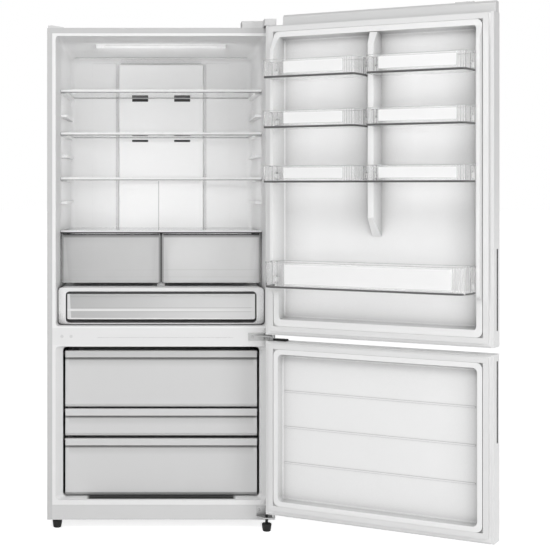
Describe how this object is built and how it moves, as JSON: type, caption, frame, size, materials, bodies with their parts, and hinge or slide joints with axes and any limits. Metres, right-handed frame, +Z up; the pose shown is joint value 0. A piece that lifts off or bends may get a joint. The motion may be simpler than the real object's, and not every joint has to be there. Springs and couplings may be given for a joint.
{
  "type": "bottom freezer refrigerator",
  "caption": "Free-standing refrigerator over a pull-drawer freezer, with both insulated doors hinged on the right, glass shelves, crispers, a chill drawer and lift-out door bins.",
  "frame": {"origin": "on the floor, under the middle of the cabinet's footprint", "axes": "+Z up; -Y towards the user, out of the cabinet's open front; +X towards the hinge side, on the right as seen from the front"},
  "size_m": [1.463, 1.216, 1.773],
  "materials": {
    "white_liner": "satin",
    "steel_sheet": "satin",
    "dark_sheet": "satin",
    "foam": "matte",
    "black_steel": "satin",
    "coil_metal": "satin",
    "coil_aluminium": "satin",
    "bright_steel": "satin",
    "grey_plastic": "matte",
    "dark_plastic": "matte",
    "grip_plastic": "matte",
    "soft_seal": "matte",
    "shelf_glass": "gloss",
    "trim_plastic": "satin",
    "clear_plastic": "gloss",
    "drawer_plastic": "satin"
  },
  "bodies": {
    "cabinet": {"cabinet_shell": "steel_sheet", "rear_panel": "dark_sheet", "cabinet_insulation": "foam", "fridge_liner": "white_liner", "freezer_liner": "white_liner", "mullion_cover": "white_liner", "base_frame": "steel_sheet", "machine_cover": "dark_sheet", "compressor": "black_steel", "condenser_coil": "coil_metal", "drain_pan": "dark_plastic", "evaporator": "coil_aluminium", "evaporator_cover": "white_liner", "fan_motor": "black_steel", "duct_cover": "white_liner", "lamp_housing": "white_liner", "lamp_lens": "clear_plastic", "hinge_brackets": "bright_steel", "hinge_pins": "bright_steel", "hinge_covers": "grey_plastic", "crisper_cover_glass": "shelf_glass", "crisper_cover_frame": "white_liner", "chill_frame": "white_liner", "control_box": "grey_plastic", "cord_gland": "dark_plastic"},
    "upper_door": {"upper_door_skin": "steel_sheet", "upper_door_liner": "white_liner", "upper_door_insulation": "foam", "upper_door_caps": "grey_plastic", "upper_door_gasket": "soft_seal", "upper_door_grip": "grip_plastic"},
    "lower_door": {"lower_door_skin": "steel_sheet", "lower_door_liner": "white_liner", "lower_door_insulation": "foam", "lower_door_caps": "grey_plastic", "lower_door_gasket": "soft_seal", "lower_door_grip": "grip_plastic"},
    "door_bin_upper_hinge_side": {"door_bin_upper_hinge_side": "clear_plastic"},
    "door_bin_upper_free_side": {"door_bin_upper_free_side": "clear_plastic"},
    "door_bin_middle_hinge_side": {"door_bin_middle_hinge_side": "clear_plastic"},
    "door_bin_middle_free_side": {"door_bin_middle_free_side": "clear_plastic"},
    "door_bin_lower_hinge_side": {"door_bin_lower_hinge_side": "clear_plastic"},
    "door_bin_lower_free_side": {"door_bin_lower_free_side": "clear_plastic"},
    "door_bin_wide": {"door_bin_wide": "clear_plastic"},
    "shelf_top": {"shelf_top_glass": "shelf_glass", "shelf_top_trim": "trim_plastic"},
    "shelf_middle": {"shelf_middle_glass": "shelf_glass", "shelf_middle_trim": "trim_plastic"},
    "shelf_bottom": {"shelf_bottom_glass": "shelf_glass", "shelf_bottom_trim": "trim_plastic"},
    "crisper_left": {"crisper_left": "clear_plastic"},
    "crisper_right": {"crisper_right": "clear_plastic"},
    "chill_drawer": {"chill_drawer": "clear_plastic"},
    "freezer_drawer_top": {"freezer_drawer_top": "drawer_plastic"},
    "freezer_drawer_middle": {"freezer_drawer_middle": "drawer_plastic"},
    "freezer_drawer_bottom": {"freezer_drawer_bottom": "drawer_plastic"},
    "foot_left": {"foot_left": "dark_plastic"},
    "foot_right": {"foot_right": "dark_plastic"},
    "fan_rotor": {"fan_rotor": "dark_plastic"},
    "rear_rollers": {"rear_rollers": "dark_plastic"}
  },
  "joints": [
    {"name": "upper_door_hinge", "type": "hinge", "parent": "cabinet", "child": "upper_door", "pos_m": [0.3837, -0.37, 1.2055], "axis": [0, 0, 1], "range_deg": [-149.6, 0]},
    {"name": "lower_door_hinge", "type": "hinge", "parent": "cabinet", "child": "lower_door", "pos_m": [0.3837, -0.37, 0.3615], "axis": [0, 0, 1], "range_deg": [-149.6, 0]},
    {"name": "shelf_top_slide", "type": "slide", "parent": "cabinet", "child": "shelf_top", "axis": [0, -1, 0], "range_m": [0, 0.18]},
    {"name": "shelf_middle_slide", "type": "slide", "parent": "cabinet", "child": "shelf_middle", "axis": [0, -1, 0], "range_m": [0, 0.18]},
    {"name": "shelf_bottom_slide", "type": "slide", "parent": "cabinet", "child": "shelf_bottom", "axis": [0, -1, 0], "range_m": [0, 0.18]},
    {"name": "crisper_left_slide", "type": "slide", "parent": "cabinet", "child": "crisper_left", "axis": [0, -1, 0], "range_m": [0, 0.28]},
    {"name": "crisper_right_slide", "type": "slide", "parent": "cabinet", "child": "crisper_right", "axis": [0, -1, 0], "range_m": [0, 0.28]},
    {"name": "chill_drawer_slide", "type": "slide", "parent": "cabinet", "child": "chill_drawer", "axis": [0, -1, 0], "range_m": [0, 0.3]},
    {"name": "freezer_drawer_top_slide", "type": "slide", "parent": "cabinet", "child": "freezer_drawer_top", "axis": [0, -1, 0], "range_m": [0, 0.36]},
    {"name": "freezer_drawer_middle_slide", "type": "slide", "parent": "cabinet", "child": "freezer_drawer_middle", "axis": [0, -1, 0], "range_m": [0, 0.36]},
    {"name": "freezer_drawer_bottom_slide", "type": "slide", "parent": "cabinet", "child": "freezer_drawer_bottom", "axis": [0, -1, 0], "range_m": [0, 0.28]},
    {"name": "door_bin_upper_hinge_side_slide", "type": "slide", "parent": "upper_door", "child": "door_bin_upper_hinge_side", "axis": [0, 0, 1], "range_m": [0, 0.02]},
    {"name": "door_bin_upper_free_side_slide", "type": "slide", "parent": "upper_door", "child": "door_bin_upper_free_side", "axis": [0, 0, 1], "range_m": [0, 0.02]},
    {"name": "door_bin_middle_hinge_side_slide", "type": "slide", "parent": "upper_door", "child": "door_bin_middle_hinge_side", "axis": [0, 0, 1], "range_m": [0, 0.02]},
    {"name": "door_bin_middle_free_side_slide", "type": "slide", "parent": "upper_door", "child": "door_bin_middle_free_side", "axis": [0, 0, 1], "range_m": [0, 0.02]},
    {"name": "door_bin_lower_hinge_side_slide", "type": "slide", "parent": "upper_door", "child": "door_bin_lower_hinge_side", "axis": [0, 0, 1], "range_m": [0, 0.02]},
    {"name": "door_bin_lower_free_side_slide", "type": "slide", "parent": "upper_door", "child": "door_bin_lower_free_side", "axis": [0, 0, 1], "range_m": [0, 0.02]},
    {"name": "door_bin_wide_slide", "type": "slide", "parent": "upper_door", "child": "door_bin_wide", "axis": [0, 0, 1], "range_m": [0, 0.02]},
    {"name": "foot_left_slide", "type": "slide", "parent": "cabinet", "child": "foot_left", "axis": [0, 0, -1], "range_m": [0, 0.012]},
    {"name": "foot_right_slide", "type": "slide", "parent": "cabinet", "child": "foot_right", "axis": [0, 0, -1], "range_m": [0, 0.012]},
    {"name": "fan_spin", "type": "hinge", "parent": "cabinet", "child": "fan_rotor", "pos_m": [0, 0.161, 0.562], "axis": [0, 1, 0], "continuous": true},
    {"name": "rollers_spin", "type": "hinge", "parent": "cabinet", "child": "rear_rollers", "pos_m": [0, 0.265, 0.022], "axis": [1, 0, 0], "continuous": true}
  ]
}
